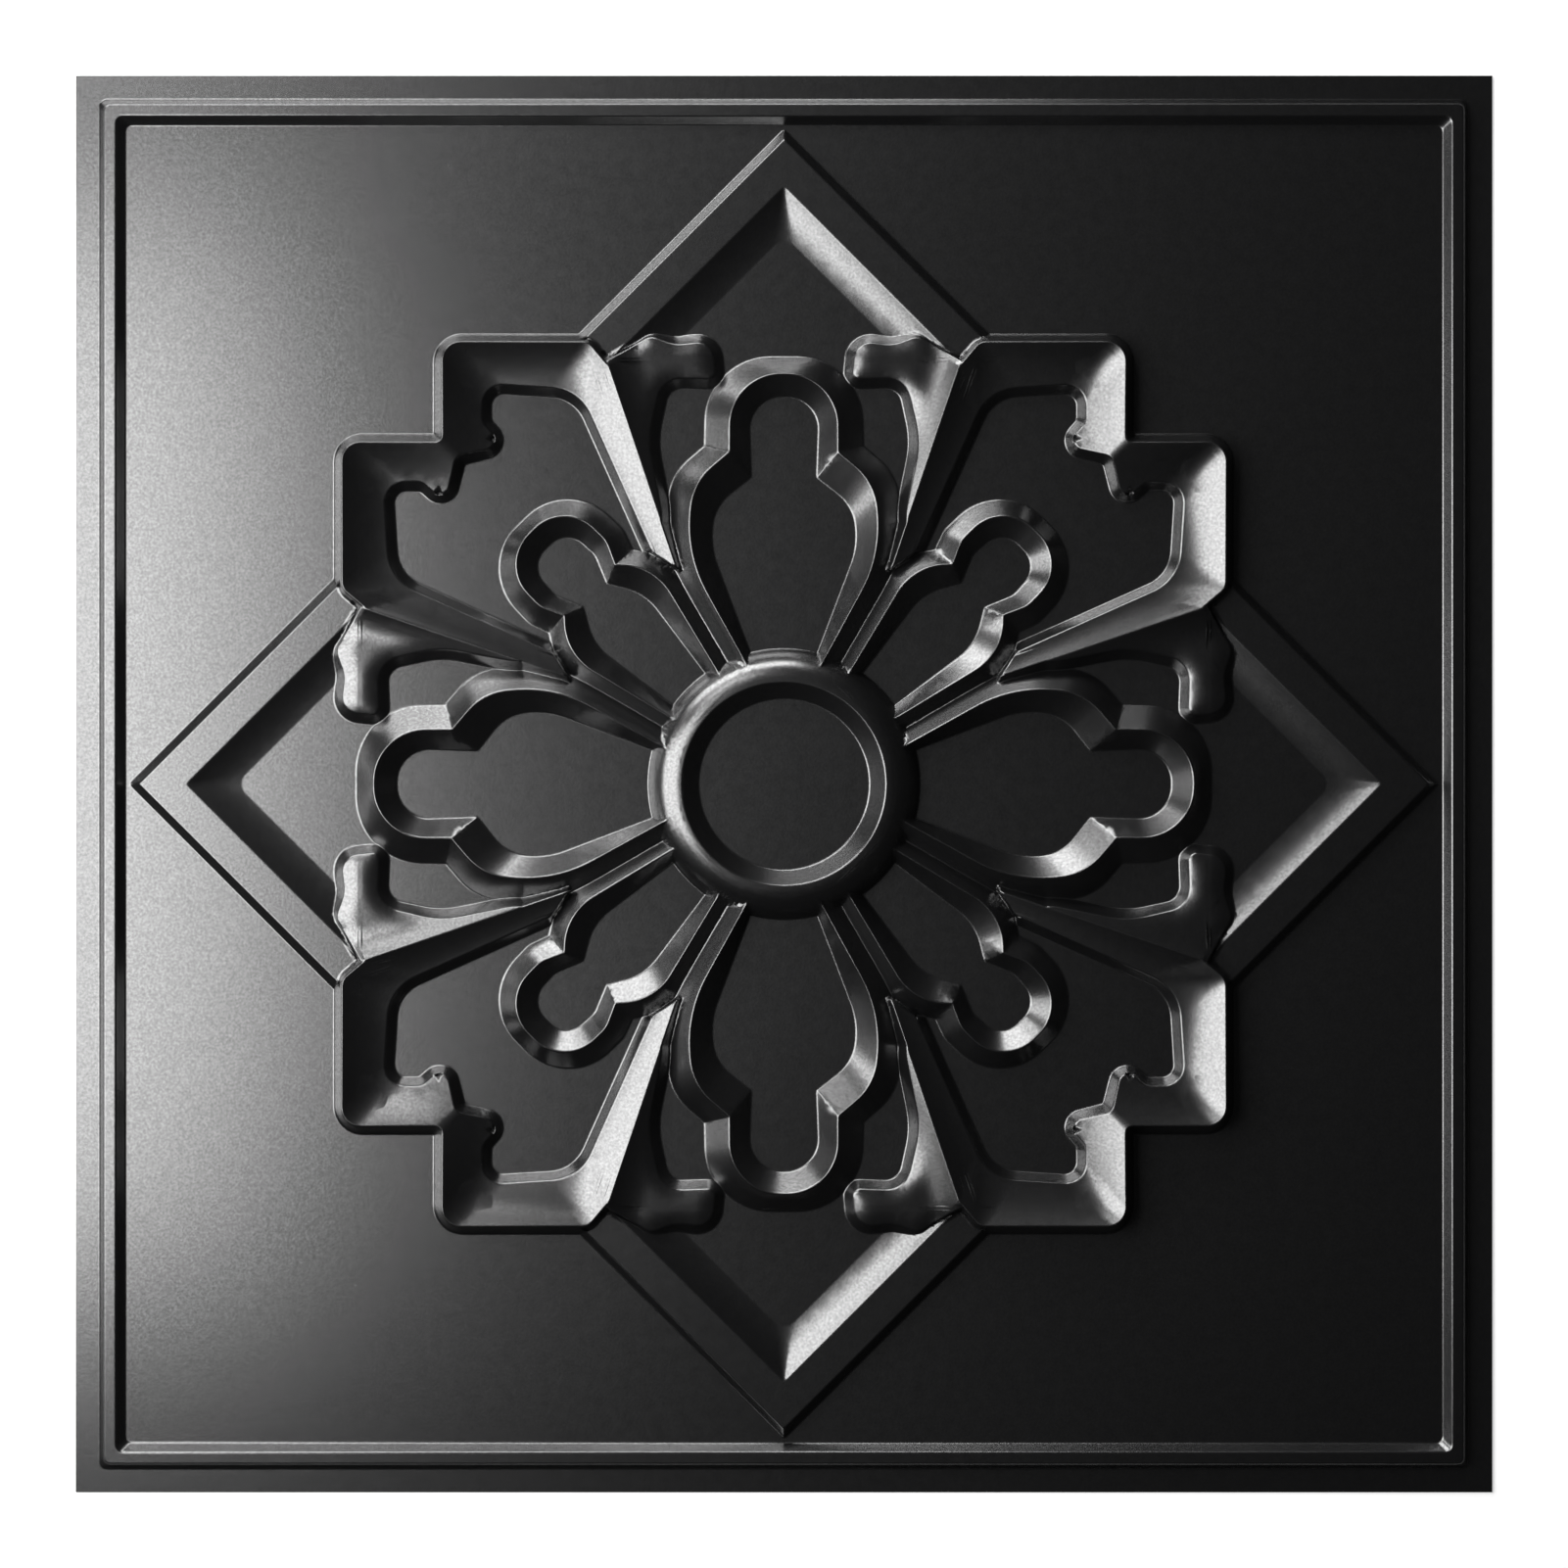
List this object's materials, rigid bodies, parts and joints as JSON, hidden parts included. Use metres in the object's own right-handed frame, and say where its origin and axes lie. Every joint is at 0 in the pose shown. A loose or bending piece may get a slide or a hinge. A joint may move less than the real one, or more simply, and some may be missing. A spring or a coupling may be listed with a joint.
{
  "type": "textured wall panel",
  "caption": "Square formed plastic wall and ceiling panel with a raised border bead, a diamond band and a petal rosette in relief; glued to a wall or laid in a ceiling grid.",
  "frame": {"origin": "middle of the panel on its back plane, where it lies on a floor", "axes": "+Z out of the decorated face, +X and +Y along the edges"},
  "size_m": [0.6032, 0.6032, 0.0134],
  "materials": {
    "panel": "satin black plastic sheet with a fine grain"
  },
  "bodies": {
    "root": {"panel": "panel"}
  },
  "joints": []
}
